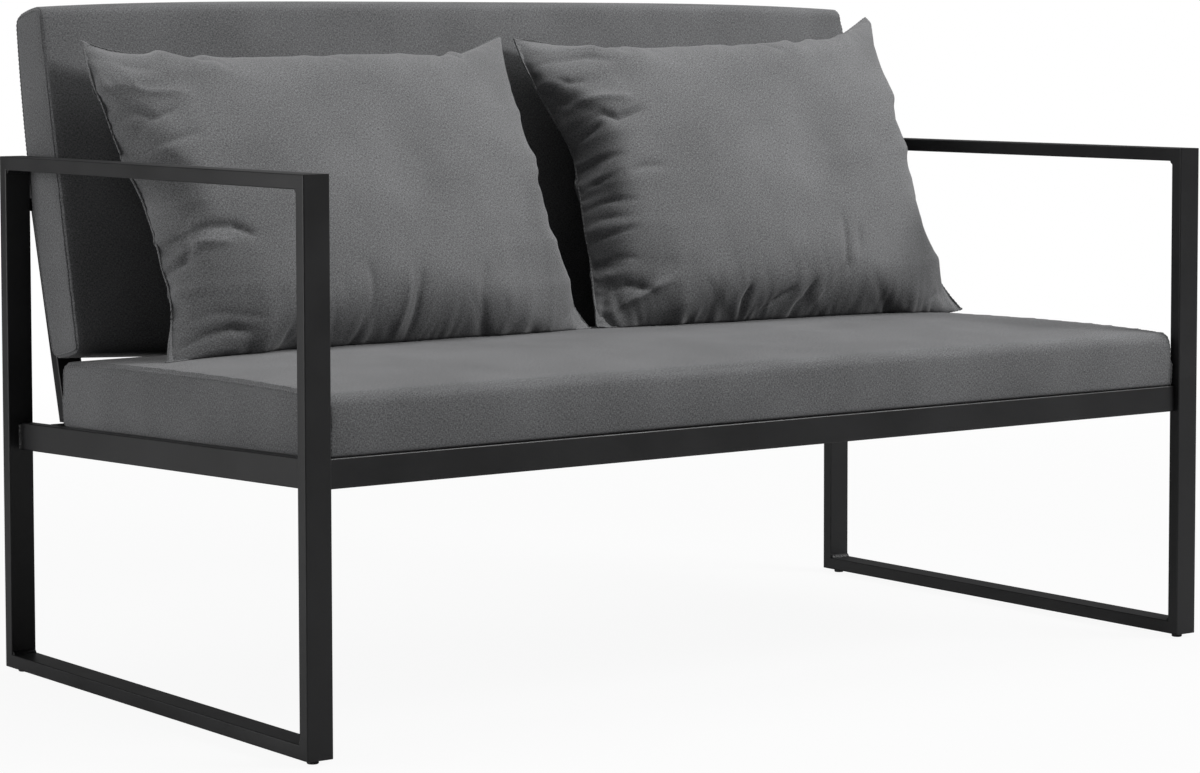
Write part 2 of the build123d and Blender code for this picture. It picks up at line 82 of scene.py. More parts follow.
# Surfaces. A roughness runs between two values with the noise, and a bump is strength and height.
NOISE_ROUGHNESS = 0.55
NOISE_RANGE = (0.3, 0.7)
COAT_PATCH_SCALE, COAT_PEEL_SCALE, COAT_GRAIN_SCALE = 9, 620, 2600
COAT_PATCH_RANGE = (0.35, 0.75)
COAT_DUST = 1.9
COAT_ROUGHNESS = (0.36, 0.46)
COAT_SPECULAR = 0.36
COAT_PEEL_BUMP = (0.12, 0.0004)
COAT_GRAIN_BUMP = (0.08, 0.0002)
WELD_RIPPLE_SCALE = 420
WELD_RIPPLE_BUMP = (0.8, 0.0012)
ZINC_SCALE = 240
ZINC_DULL = 0.7
ZINC_ROUGHNESS = (0.28, 0.45)
ZINC_BUMP = (0.1, 0.0002)
PLASTIC_SCALE = 1500
PLASTIC_PALE = 1.6
PLASTIC_ROUGHNESS = (0.5, 0.62)
PLASTIC_BUMP = (0.3, 0.0002)
THREAD_SCALE = 1800
THREAD_PALE = 1.8
THREAD_ROUGHNESS = 0.85
THREAD_BUMP = (0.4, 0.0003)

# Woven fabric: the scales of its layers on cloth in metres, and each layer's share of the tint
YARN_FINE, YARN_LONG = 1150, 380
WEAVE_SCALE = 420
WEAVE_DISTORTION = 1.2
CLOUD_SCALE = 7
YARN_SHARE, WEAVE_SHARE, CLOUD_SHARE = 0.75, 0.3, 0.35
FABRIC_DARK, FABRIC_LIGHT = 0.35, 1.65
FABRIC_TINT_RANGE = (0.75, 1.35)
FABRIC_YARN_RANGE = (0.6, 1.4)
FABRIC_ROUGHNESS = (0.78, 0.95)
FABRIC_SPECULAR = 0.25
FABRIC_BUMP_HEIGHT = 0.0006
SHEEN_ROUGHNESS = 0.4
CUSHION_SHEEN, CUSHION_BUMP = 0.12, 0.35
PILLOW_SHEEN, PILLOW_BUMP = 0.16, 0.3

# Seat cushion, in the seat frame: X along the bench, Y to the back, Z up
SEAT_ORIGIN = (0, -0.325677, 0.298)
SEAT_TILT = 1.8
SEAT_FRONT = 0.002
SEAT_DEPTH = 0.551
SEAT_EDGE = 0.0615
SEAT_LIFT = 0.0003
SEAT_END_CROWN = 0.008
SEAT_MIDDLE_CROWN = 0.0175
SEAT_CROWN_POWER = 2.4
SEAT_REAR_RISE = 0.008
SEAT_END_SPREAD = 0.003
SEAT_END_BULGE = 0.0015
SEAT_BULGE_POWER = 6
SEAT_SIDE_DRAW = 0.0012
SEAT_SAG = 0.0028
SEAT_SAG_REACH = (0.41, 0.5)
SEAT_WAVES = ((0.0012, 0.19, 1), (0.0006, 0.06, 2))
SEAT_PUCKER_SEED = 3

# Back cushion, in the back frame: X along the bench, Y up along the lean, Z to the front
BACK_FOOT = (0, 0.258327, 0.352383)
BACK_LEAN = 11.5
BACK_HEIGHT = 0.382
BACK_EDGE = 0.062
BACK_END_CROWN = 0.005
BACK_MIDDLE_CROWN = 0.009
BACK_REAR_CROWN = 0.005
BACK_TOP_BELLY = 0.008
BACK_FOOT_BELLY = 0.013
BACK_END_SPREAD = 0.002
BACK_END_BULGE = 0.004
BACK_TOP_LIFT = 0.0015
BACK_WAVES = ((0.0013, 0.17, 4), (0.0006, 0.055, 5))
BACK_PUCKER_SEED = 6

# Both cushions. Waves are depths, lengths and seeds. The higher a power, the closer to an edge a
# form stays or fades.
END_POWER = 24
SIDE_POWER = 12
WAVE_POWER = 8
WAVE_SEED_STEPS = (7.3, 3.1, 5.7)
CROWN_POWER = 6
BELLY_POWER = 4
CUSHION_LENGTH = 1.15
CUSHION_EDGE_RADIUS = 0.012
CUSHION_FOOT_RADIUS = 0.002
CUSHION_END_RADIUS = 0.0045
CUSHION_SIDE_BULGE = 0.0025
CUSHION_GRID = 0.0065
CUSHION_EDGE_STEPS = 4
SEAM_RADIUS = 0.0011
SEAM_STEP = 0.0012
SEAM_SWELL = 0.25
SEAM_WIDE, SEAM_HIGH = 1.2, 0.9
SEAM_SIDES = 8
STITCH_PITCH = 0.0048
STITCH_SHARE = 0.6
STITCH_RADIUS = 0.0004
STITCH_LINE = 3
STITCH_SIDES = 6
STITCH_PROFILE = ((-1, 0.2), (-0.7, 1), (0.7, 1), (1, 0.2))
PUCKER_DEPTH = 0.0016
PUCKER_REACH = 0.014
PUCKER_PITCH = 0.022
PUCKER_BIAS = 0.4
# A piece laid on another: the gap between them, and how deep a point can be found inside it
REST_GAP = 0.0005
REST_REACH = 0.3

# Pillows: the sheets before they are filled, the cloth simulation, and what is done to it after
SHEET_STEP = 0.006
SHEET_SLACK = 1.06
SHEET_PUFF = 0.012
PILLOW_PRESSURE = 4
PILLOW_FRAMES = 20
PILLOW_BULGES = (0.080, 0.046)
PILLOW_SLOPES = (0.8, 0.9)
PILLOW_SLOPE_REACH = (0.42, 0.5)
PILLOW_BACK_SLOPE = 2
# Gathers: a noise is its amount, its length and the step from the pillow's seed to its own
GATHER_SEEDS = {"left": 20, "right": 50}
GATHER_FINE = 0.003
GATHER_STRETCH = 3.5
GATHER_SHARPNESS = 2.6
GATHER_FADE_POWER = 1.4
GATHER_LENGTH_NOISE = (0.6, 3.1, 9)
GATHER_STRENGTH_NOISE = (0.9, 4.3, 17)
GATHER_STRENGTH = 0.7
GATHER_STRENGTH_RANGE = (0.1, 1.5)
# Creases: how their depth falls off to the sides and to their ends
CREASE_WIDTH_SHARE = 0.8
CREASE_END_SHARE = 0.3
CREASE_TAPER_POWER = 0.7
CREASE_LIP = 0.35
CREASE_EDGE_FADE = 60
# How deep, how far apart and how long the gathers are along each side of a pillow
GATHERS = {
    "left": {
        "left": (0.0020, 0.017, 0.028),
        "right": (0.0012, 0.020, 0.030),
        "top": (0.0014, 0.022, 0.030),
        "bottom": (0.0028, 0.020, 0.044),
    },
    "right": {
        "left": (0.0020, 0.014, 0.024),
        "right": (0.0012, 0.020, 0.030),
        "top": (0.0016, 0.020, 0.034),
        "bottom": (0.0034, 0.017, 0.044),
    },
}

# Each pillow's plane, as its centre, turn and lean, and its hem as four sides of points in that
# plane, in millimetres, u to the right and v up
PILLOWS = {
    "left": {
        "centre": (-0.2637, 0.1529, 0.5332),
        "turn": 2,
        "lean": 28,
        "left": (
            (-291, -200), (-279, -174), (-265, -145), (-257, -107), (-261, -92), (-257, -50),
            (-260, -2), (-272, 50), (-277, 110), (-283, 155), (-283, 195),
        ),
        "top": (
            (-283, 195), (-254, 181), (-178, 169), (-119, 162), (-38, 160), (76, 161),
            (194, 163), (240, 176), (272, 188), (296, 197),
        ),
        "right": (
            (293, -196), (279, -170), (268, -130), (256, -75), (248, -30), (250, 32),
            (261, 86), (272, 128), (282, 160), (296, 197),
        ),
        "bottom": (
            (-291, -200), (-280, -204), (-240, -203), (-72, -203), (143, -203), (252, -201),
            (293, -196),
        ),
    },
    "right": {
        "centre": (0.3095, 0.1397, 0.5341),
        "turn": -3,
        "lean": 28,
        "left": (
            (-276, -189), (-270, -157), (-260, -120), (-254, -71), (-245, -12), (-238, 38),
            (-249, 72), (-261, 111), (-274, 162), (-278, 194),
        ),
        "top": (
            (-278, 194), (-188, 178), (-120, 170), (0, 169), (100, 174), (180, 182),
            (225, 199), (267, 224),
        ),
        "right": (
            (275, -193), (257, -168), (245, -138), (236, -98), (228, -45), (224, 0),
            (227, 62), (239, 131), (253, 178), (272, 212), (267, 224),
        ),
        "bottom": (
            (-276, -189), (-230, -200), (-52, -202), (67, -202), (199, -200), (275, -193),
        ),
    },
}

# Creases in the pillows' fronts, in millimetres: depth, width, then points. A negative depth is
# a ridge.
CREASES = {
    "left": (
        (6, 8, ((-276, 165), (-273, 138), (-268, 109))),
        (-4, 10, ((-262, 168), (-256, 140), (-250, 112))),
        (6, 10, ((-277, 108), (-264, 91), (-247, 73), (-223, 79))),
        (-5, 10, ((-270, 128), (-240, 105), (-205, 98))),
        (4, 9, ((-277, 175), (-254, 151), (-225, 135))),
        (4, 10, ((-279, 36), (-256, 38), (-206, 46))),
        (6, 5, ((-250, -90), (-262, -97), (-272, -108))),
        (8, 7, ((-253, -65), (-225, -63), (-199, -67), (-178, -80))),
        (9, 4, ((-270, -95), (-250, -90), (-232, -88))),
        (-5, 8, ((-262, -80), (-235, -78), (-205, -85))),
        (8, 4, ((-250, -92), (-242, -80), (-246, -62))),
        (3, 7, ((-270, -160), (-233, -154), (-180, -168))),
        (-7, 7, ((-278, -197), (-240, -191), (-204, -192))),
        (15, 7, ((-272, -184), (-246, -176), (-216, -173), (-196, -180))),
        (5, 8, ((-154, -195), (-147, -183), (-132, -171))),
        (6, 8, ((8, -195), (13, -163), (21, -139))),
        (-4, 8, ((-10, -190), (-3, -162), (4, -135))),
        (4, 10, ((-51, -180), (-46, -143), (-47, -125))),
        (4, 12, ((114, -129), (101, -166), (113, -189))),
        (6, 8, ((235, -188), (265, -168), (297, -146))),
        (5, 8, ((167, 152), (184, 139), (220, 157))),
    ),
    "right": (
        (6, 9, ((-267, 152), (-238, 148), (-210, 148), (-183, 136))),
        (-5, 10, ((-262, 170), (-230, 166), (-195, 160))),
        (6, 9, ((-255, 127), (-241, 114), (-224, 112))),
        (8, 9, ((-232, 61), (-220, 65), (-204, 54), (-171, 62))),
        (-6, 11, ((-240, 86), (-215, 84), (-180, 80))),
        (7, 8, ((-254, 32), (-239, 44), (-223, 52))),
        (4, 10, ((-213, -18), (-193, -14), (-166, -15))),
        (2, 5, ((-254, 11), (-234, 12), (-214, 5))),
        (3, 5, ((-256, -17), (-240, -17), (-220, -16))),
        (3, 5, ((-260, -41), (-243, -43), (-212, -54))),
        (2, 5, ((-260, -61), (-244, -63), (-224, -72))),
        (3, 5, ((-262, -85), (-241, -86), (-216, -87))),
        (3, 6, ((-264, -112), (-244, -115), (-222, -123))),
        (12, 8, ((-262, -151), (-239, -149), (-210, -160))),
        (-12, 10, ((-277, -180), (-242, -169), (-188, -153))),
        (8, 6, ((-85, -195), (-88, -184), (-82, -170))),
        (8, 6, ((-62, -195), (-37, -183), (-20, -176))),
        (8, 6, ((-11, -194), (1, -185), (12, -168))),
        (7, 8, ((18, -192), (42, -174), (61, -151), (67, -119), (69, -93))),
        (4, 7, ((81, -141), (87, -123), (91, -104))),
        (5, 8, ((194, -192), (212, -182), (246, -170))),
        (6, 8, ((235, -161), (245, -174), (270, -183))),
        (5, 8, ((35, 166), (53, 156), (66, 138))),
        (4, 7, ((202, 201), (216, 190), (214, 170))),
    ),
}


# Camera
def make_camera():
    """A pinhole camera with its picture shifted down from the optical axis."""
    data = bpy.data.cameras.new("camera")
    data.sensor_width = SENSOR_WIDTH
    data.lens = LENS
    data.shift_y = LENS_SHIFT_Y
    camera = bpy.data.objects.new("camera", data)
    bpy.context.scene.collection.objects.link(camera)
    axes = Matrix((CAMERA_RIGHT, CAMERA_UP, CAMERA_BACK)).transposed().to_4x4()
    camera.matrix_world = Matrix.Translation(CAMERA_PLACE) @ axes
    bpy.context.scene.camera = camera


# Materials
def new_material(name):
    """A node material, as the material, its node tree and its Principled shader."""
    made = bpy.data.materials.new(name)
    made.use_nodes = True
    return made, made.node_tree, made.node_tree.nodes["Principled BSDF"]


def add_node(tree, kind, **values):
    """A node with some of its sockets or settings given by name."""
    node = tree.nodes.new(kind)
    for key, value in values.items():
        if key in node.inputs:
            node.inputs[key].default_value = value
        else:
            setattr(node, key, value)
    return node


def link(tree, source, target):
    tree.links.new(source, target)


def shaded(colour, factor):
    """A colour made darker or lighter by a factor, with full alpha."""
    return tuple(factor * channel for channel in colour[:3]) + (1,)


def coordinates(tree, output, scale=(1, 1, 1)):
    """Texture coordinates stretched by a scale along each axis."""
    source = tree.nodes.new("ShaderNodeTexCoord")
    mapping = add_node(tree, "ShaderNodeMapping", Scale=scale)
    link(tree, source.outputs[output], mapping.inputs["Vector"])
    return mapping.outputs["Vector"]


def noise_texture(tree, vector, scale, detail):
    node = add_node(
        tree, "ShaderNodeTexNoise", Scale=scale, Detail=detail, Roughness=NOISE_ROUGHNESS
    )
    link(tree, vector, node.inputs["Vector"])
    return node.outputs["Fac"]


def ramp(tree, value, source, target):
    """A value mapped from one range to another and clamped."""
    node = tree.nodes.new("ShaderNodeMapRange")
    for key, number in zip(("From Min", "From Max", "To Min", "To Max"), source + target):
        node.inputs[key].default_value = number
    link(tree, value, node.inputs["Value"])
    return node.outputs["Result"]


def combine(tree, operation, first, second):
    """A math node on two values, each an output or a number."""
    node = add_node(tree, "ShaderNodeMath", operation=operation)
    for socket, value in zip(node.inputs, (first, second)):
        if isinstance(value, (int, float)):
            socket.default_value = value
        else:
            link(tree, value, socket)
    return node.outputs["Value"]


def weighted_sum(tree, first, first_share, second, second_share):
    """Two outputs added, each times its share."""
    parts = [
        combine(tree, "MULTIPLY", value, share)
        for value, share in ((first, first_share), (second, second_share))
    ]
    return combine(tree, "ADD", *parts)


def mixed_colour(tree, factor, first, second):
    node = add_node(tree, "ShaderNodeMix", data_type="RGBA")
    link(tree, factor, node.inputs["Factor"])
    node.inputs["A"].default_value = first
    node.inputs["B"].default_value = second
    return node.outputs["Result"]


def bump(tree, height, relief, normal=None):
    """A bump from a height, whose relief is its strength and distance."""
    node = add_node(tree, "ShaderNodeBump", Strength=relief[0], Distance=relief[1])
    link(tree, height, node.inputs["Height"])
    if normal is not None:
        link(tree, normal, node.inputs["Normal"])
    return node.outputs["Normal"]


def powder_coat(name, rippled):
    """Satin black powder coat: a fine orange peel, sheen in patches, and ripples on a weld."""
    made, tree, shader = new_material(name)
    even = coordinates(tree, "Object")
    patches = noise_texture(tree, even, COAT_PATCH_SCALE, 4)
    peel = noise_texture(tree, even, COAT_PEEL_SCALE, 2)
    grain = noise_texture(tree, even, COAT_GRAIN_SCALE, 1)
    dust = ramp(tree, patches, COAT_PATCH_RANGE, (0, 1))
    colour = mixed_colour(tree, dust, COAT_COLOUR, shaded(COAT_COLOUR, COAT_DUST))
    link(tree, colour, shader.inputs["Base Color"])
    link(tree, ramp(tree, patches, NOISE_RANGE, COAT_ROUGHNESS), shader.inputs["Roughness"])
    relief = bump(tree, peel, COAT_PEEL_BUMP)
    if rippled:
        ripple = noise_texture(tree, even, WELD_RIPPLE_SCALE, 1)
        relief = bump(tree, ripple, WELD_RIPPLE_BUMP, relief)
    link(tree, bump(tree, grain, COAT_GRAIN_BUMP, relief), shader.inputs["Normal"])
    shader.inputs["Specular IOR Level"].default_value = COAT_SPECULAR
    return made


def zinc():
    """Zinc plated steel, slightly mottled."""
    made, tree, shader = new_material("zinc")
    patches = noise_texture(tree, coordinates(tree, "Object"), ZINC_SCALE, 3)
    colour = mixed_colour(tree, patches, ZINC_COLOUR, shaded(ZINC_COLOUR, ZINC_DULL))
    link(tree, colour, shader.inputs["Base Color"])
    link(tree, ramp(tree, patches, NOISE_RANGE, ZINC_ROUGHNESS), shader.inputs["Roughness"])
    link(tree, bump(tree, patches, ZINC_BUMP), shader.inputs["Normal"])
    shader.inputs["Metallic"].default_value = 1
    return made


def moulded_plastic():
    """Black moulded plastic with a fine spark texture."""
    made, tree, shader = new_material("moulded_plastic")
    grain = noise_texture(tree, coordinates(tree, "Object"), PLASTIC_SCALE, 2)
    colour = mixed_colour(tree, grain, PLASTIC_COLOUR, shaded(PLASTIC_COLOUR, PLASTIC_PALE))
    link(tree, colour, shader.inputs["Base Color"])
    link(tree, ramp(tree, grain, NOISE_RANGE, PLASTIC_ROUGHNESS), shader.inputs["Roughness"])
    link(tree, bump(tree, grain, PLASTIC_BUMP), shader.inputs["Normal"])
    return made


def threads(tree, axis):
    """Parallel threads across one axis of the cloth."""
    wave = add_node(
        tree,
        "ShaderNodeTexWave",
        Scale=1,
        bands_direction=axis,
        Distortion=WEAVE_DISTORTION,
    )
    wave.inputs["Detail Scale"].default_value = 2
    link(tree, coordinates(tree, "UV", (WEAVE_SCALE, WEAVE_SCALE, 1)), wave.inputs["Vector"])
    return wave.outputs["Fac"]


def woven_fabric(name, colour, sheen, bump_strength):
    """Plain-woven polyester: crossing threads, uneven yarn and a soft sheen on grazing light."""
    made, tree, shader = new_material(name)
    along = noise_texture(tree, coordinates(tree, "UV", (YARN_LONG, YARN_FINE, 1)), 1, 1)
    across = noise_texture(tree, coordinates(tree, "UV", (YARN_FINE, YARN_LONG, 1)), 1, 1)
    cloud = noise_texture(tree, coordinates(tree, "UV"), CLOUD_SCALE, 4)
    yarn = combine(tree, "ADD", along, across)
    weave = combine(tree, "MULTIPLY", threads(tree, "X"), threads(tree, "Y"))
    relief = weighted_sum(tree, yarn, YARN_SHARE, weave, WEAVE_SHARE)
    tint = combine(tree, "ADD", relief, combine(tree, "MULTIPLY", cloud, CLOUD_SHARE))
    shade = ramp(tree, tint, FABRIC_TINT_RANGE, (0, 1))
    dark, light = shaded(colour, FABRIC_DARK), shaded(colour, FABRIC_LIGHT)
    link(tree, mixed_colour(tree, shade, dark, light), shader.inputs["Base Color"])
    rough = ramp(tree, yarn, FABRIC_YARN_RANGE, FABRIC_ROUGHNESS)
    link(tree, rough, shader.inputs["Roughness"])
    link(tree, bump(tree, relief, (bump_strength, FABRIC_BUMP_HEIGHT)), shader.inputs["Normal"])
    shader.inputs["Specular IOR Level"].default_value = FABRIC_SPECULAR
    shader.inputs["Sheen Weight"].default_value = sheen
    shader.inputs["Sheen Roughness"].default_value = SHEEN_ROUGHNESS
    return made


def sewing_thread():
    """Matt twisted polyester thread."""
    made, tree, shader = new_material("sewing_thread")
    twist = noise_texture(tree, coordinates(tree, "Object"), THREAD_SCALE, 2)
    colour = mixed_colour(tree, twist, THREAD_COLOUR, shaded(THREAD_COLOUR, THREAD_PALE))
    link(tree, colour, shader.inputs["Base Color"])
    link(tree, bump(tree, twist, THREAD_BUMP), shader.inputs["Normal"])
    shader.inputs["Roughness"].default_value = THREAD_ROUGHNESS
    return made


# Stage and light
def make_floor():
    """A pale floor that reads as white round the bench and still takes its shadow."""
    bpy.ops.mesh.primitive_plane_add(size=FLOOR_SIZE)
    floor = bpy.context.object
    floor.name = "floor"
    made, tree, shader = new_material("floor")
    shader.inputs["Base Color"].default_value = FLOOR_COLOUR
    shader.inputs["Roughness"].default_value = FLOOR_ROUGHNESS
    glow = add_node(tree, "ShaderNodeEmission", Color=WHITE, Strength=1)
    path = tree.nodes.new("ShaderNodeLightPath")
    away = add_node(tree, "ShaderNodeVectorMath", operation="LENGTH")
    link(tree, coordinates(tree, "Object"), away.inputs[0])
    glows = ramp(tree, away.outputs["Value"], FLOOR_GLOW_REACH, FLOOR_GLOWS)
    seen = combine(tree, "MULTIPLY", path.outputs["Is Camera Ray"], glows)
    mix = tree.nodes.new("ShaderNodeMixShader")
    link(tree, seen, mix.inputs["Fac"])
    link(tree, shader.outputs["BSDF"], mix.inputs[1])
    link(tree, glow.outputs["Emission"], mix.inputs[2])
    link(tree, mix.outputs["Shader"], tree.nodes["Material Output"].inputs["Surface"])
    floor.data.materials.append(made)


def make_backdrop():
    """A world that lights softly and that the camera sees as white."""
    world = bpy.data.worlds.new("studio")
    bpy.context.scene.world = world
    world.use_nodes = True
    tree = world.node_tree
    background = tree.nodes["Background"]
    background.inputs["Color"].default_value = WHITE
    background.inputs["Strength"].default_value = WORLD_LEVEL
    seen = add_node(tree, "ShaderNodeBackground", Color=WHITE, Strength=1)
    path = tree.nodes.new("ShaderNodeLightPath")
    mix = tree.nodes.new("ShaderNodeMixShader")
    link(tree, path.outputs["Is Camera Ray"], mix.inputs["Fac"])
    link(tree, background.outputs["Background"], mix.inputs[1])
    link(tree, seen.outputs["Background"], mix.inputs[2])
    link(tree, mix.outputs["Shader"], tree.nodes["World Output"].inputs["Surface"])


def make_lamps():
    """Large soft area lamps round the bench."""
    for name, (place, size, power) in LAMPS.items():
        data = bpy.data.lights.new(name, "AREA")
        data.shape = "RECTANGLE"
        data.size, data.size_y = size
        data.energy = power
        lamp = bpy.data.objects.new(name, data)
        bpy.context.scene.collection.objects.link(lamp)
        lamp.location = place
        aim = Vector(LAMP_AIM) - Vector(place)
        lamp.rotation_euler = aim.to_track_quat("-Z", "Y").to_euler()


# Shared mesh work
def axes_frame(origin, right, up):
    """Origin and unit axes as numpy rows: right, up and the normal of both."""
    right, up = np.array(right, float), np.array(up, float)
    return np.array(origin, float), np.array((right, up, np.cross(right, up)))


def to_world(points, place):
    origin, axes = place
    return origin + np.asarray(points) @ axes


def mesh_object(name, points, faces, cloth):
    """A smooth-shaded mesh object, with cloth coordinates for each face corner."""
    mesh = bpy.data.meshes.new(name)
    mesh.from_pydata([tuple(p) for p in points], [], faces)
    layer = mesh.uv_layers.new(name="cloth")
    layer.data.foreach_set("uv", np.asarray(cloth, np.float32).ravel())
    mesh.polygons.foreach_set("use_smooth", [True] * len(faces))
    mesh.update()
    made = bpy.data.objects.new(name, mesh)
    bpy.context.scene.collection.objects.link(made)
    return made


def unit(vectors):
    """Each row made one long."""
    return vectors / np.maximum(np.linalg.norm(vectors, axis=-1, keepdims=True), 1e-9)


def mesh_points(piece):
    points = np.zeros(len(piece.data.vertices) * 3)
    piece.data.vertices.foreach_get("co", points)
    return points.reshape(-1, 3)


def set_points(piece, points):
    piece.data.vertices.foreach_set("co", np.asarray(points, np.float32).ravel())
    piece.data.update()


def mesh_normals(piece):
    normals = np.zeros(len(piece.data.vertices) * 3)
    piece.data.vertex_normals.foreach_get("vector", normals)
    return normals.reshape(-1, 3)


def apply_modifiers(piece):
    """Bake a piece's modifiers into its mesh."""
    graph = bpy.context.evaluated_depsgraph_get()
    baked = bpy.data.meshes.new_from_object(piece.evaluated_get(graph))
    piece.modifiers.clear()
    piece.data = baked


def wave_field(points, wavelength, seed):
    """Smooth noise from -1 to 1 at each point, shifted by its seed."""
    shift = Vector([seed * step for step in WAVE_SEED_STEPS])
    return np.array([noise.noise(Vector(p) / wavelength + shift) for p in points])


def rest_on(piece, other, direction):
    """Push a piece's points out of another piece along a direction, until they lie clear of it."""
    points = mesh_points(piece)
    way = Vector(direction).normalized()
    faces = [tuple(face.vertices) for face in other.data.polygons]
    tree = BVHTree.FromPolygons([tuple(p) for p in mesh_points(other)], faces)
    for i, point in enumerate(points):
        start = Vector(point) + way * REST_REACH
        hit = tree.ray_cast(start, -way, REST_REACH + REST_GAP)
        if hit[0] is not None:
            points[i] = hit[0] + way * REST_GAP
    set_points(piece, points)


# Box cushions
def grid_lines(half, radius):
    """Grid lines across one side of a box cushion, closer together over its rounded edges."""
    flat = half - radius
    count = max(2, round(2 * flat / CUSHION_GRID))
    middle = [flat * (2 * i / count - 1) for i in range(count + 1)]
    edge = [flat + radius * (i + 1) / CUSHION_EDGE_STEPS for i in range(CUSHION_EDGE_STEPS)]
    return np.array([-x for x in reversed(edge)] + middle + edge)


def box_grid(halves, radii):
    """Points, faces, cloth coordinates, and the end and stitching loops of a gridded box."""
    lines = [grid_lines(half, radius) for half, radius in zip(halves, radii)]
    last = [len(line) - 1 for line in lines]
    points, faces, cloth, index = [], [], [], {}

    def vertex(place):
        if place not in index:
            index[place] = len(points)
            points.append([lines[axis][place[axis]] for axis in range(3)])
        return index[place]

    for axis in range(3):
        a, b = [x for x in range(3) if x != axis]
        for end in (0, last[axis]):
            turned = (end == 0) != (axis == 1)
            for i in range(last[a]):
                for j in range(last[b]):
                    corners = []
                    for di, dj in ((0, 0), (1, 0), (1, 1), (0, 1)):
                        place = [0, 0, 0]
                        place[axis], place[a], place[b] = end, i + di, j + dj
                        corners.append(tuple(place))
                    if turned:
                        corners.reverse()
                    faces.append([vertex(corner) for corner in corners])
                    cloth += [(lines[a][c[a]], lines[b][c[b]]) for c in corners]
    loops = []
    for at in (0, last[0], STITCH_LINE, last[0] - STITCH_LINE):
        path = [(at, j, 0) for j in range(last[1])]
        path += [(at, last[1], k) for k in range(last[2])]
        path += [(at, j, last[2]) for j in range(last[1], 0, -1)]
        path += [(at, 0, k) for k in range(last[2], 0, -1)]
        loops.append([index[place] for place in path])
    return np.array(points), faces, cloth, loops


def rounded(points, halves, radii):
    """Round the edges of a gridded box. Radii are one row for each point."""
    inner = np.array(halves) - radii
    core = np.clip(points, -inner, inner)
    out = (points - core) / radii
    length = np.maximum(np.linalg.norm(out, axis=1, keepdims=True), 1)
    return core + radii * out / length


def pucker(points, ends, seed):
    """Small gathers beside the end seams, as a depth at each point."""
    run = points[:, 1] + points[:, 2]
    folds = np.array(
        [noise.noise(Vector((r / PUCKER_PITCH * 2, seed, e))) for r, e in zip(run, np.sign(ends))]
    )
    reach = np.exp(-(CUSHION_LENGTH / 2 - np.abs(ends)) / PUCKER_REACH)
    return PUCKER_DEPTH * (folds - PUCKER_BIAS) * reach


def top_waves(points, waves, u, v):
    """Shallow waves in a cushion's face that fade out at its edges."""
    total = sum(depth * wave_field(points, length, seed) for depth, length, seed in waves)
    return total * (1 - v**WAVE_POWER) * (1 - u**WAVE_POWER)


def toward_ends(u):
    """From 0 over nearly all of a cushion to -1 or 1 at its two ends."""
    return np.sign(u) * np.abs(u) ** END_POWER


def seam_path(piece, loop):
    """Even steps along a closed loop of a piece's points: run, places, tangents, sides and outs."""
    points, normals = mesh_points(piece)[loop], mesh_normals(piece)[loop]
    closed, outs = np.vstack((points, points[:1])), np.vstack((normals, normals[:1]))
    run = np.concatenate(([0], np.cumsum(np.linalg.norm(np.diff(closed, axis=0), axis=1))))
    count = int(run[-1] / SEAM_STEP)
    at = np.arange(count) * run[-1] / count
    centre = np.stack([np.interp(at, run, closed[:, axis]) for axis in range(3)], axis=1)
    out = unit(np.stack([np.interp(at, run, outs[:, axis]) for axis in range(3)], axis=1))
    tangent = unit(np.roll(centre, -1, axis=0) - np.roll(centre, 1, axis=0))
    return at, centre, tangent, unit(np.cross(tangent, out)), out


def closed_tube(name, rows):
    """A mesh through rows of points, each row a ring, whose last row joins its first."""
    count, ring = rows.shape[:2]
    faces, cloth = [], []
    for i in range(count):
        for k in range(ring):
            j, m = (i + 1) % count, (k + 1) % ring
            faces.append((i * ring + k, i * ring + m, j * ring + m, j * ring + k))
    for face in faces:
        cloth += [(v // ring * SEAM_STEP, v % ring * SEAM_RADIUS) for v in face]
    return mesh_object(name, rows.reshape(-1, 3), faces, cloth)


def seam_ridge(name, piece, loop):
    """A ridge along a seam, drawn in at each stitch."""
    at, centre, _, side, out = seam_path(piece, loop)
    swell = SEAM_RADIUS * (1 + SEAM_SWELL * np.cos(2 * pi * at / STITCH_PITCH))[:, None]
    wide, high = SEAM_WIDE * swell, SEAM_HIGH * swell
    angles = np.arange(SEAM_SIDES) * 2 * pi / SEAM_SIDES
    rings = [wide * cos(a) * side + high * sin(a) * out for a in angles]
    return closed_tube(name, centre[:, None, :] + np.stack(rings, axis=1))


def stitches(name, piece, loop):
    """A row of short raised stitches along a loop of a piece's points."""
    at, centre, tangent, side, out = seam_path(piece, loop)
    verts, faces, cloth = [], [], []
    half = STITCH_PITCH * STITCH_SHARE / 2
    for number in range(int(at[-1] / STITCH_PITCH)):
        i = int(number * STITCH_PITCH / SEAM_STEP)
        for share, thick in STITCH_PROFILE:
            place = centre[i] + share * half * tangent[i]
            for a in range(STITCH_SIDES):
                turn = a * 2 * pi / STITCH_SIDES
                spoke = cos(turn) * side[i] + sin(turn) * out[i]
                verts.append(place + thick * STITCH_RADIUS * spoke)
        first = number * len(STITCH_PROFILE) * STITCH_SIDES
        for row in range(len(STITCH_PROFILE) - 1):
            low = first + row * STITCH_SIDES
            high = low + STITCH_SIDES
            for a in range(STITCH_SIDES):
                b = (a + 1) % STITCH_SIDES
                faces.append((low + a, low + b, high + b, high + a))
                cloth += [(v * STITCH_RADIUS, row * STITCH_RADIUS) for v in (a, b, b, a)]
    return mesh_object(name, verts, faces, cloth)


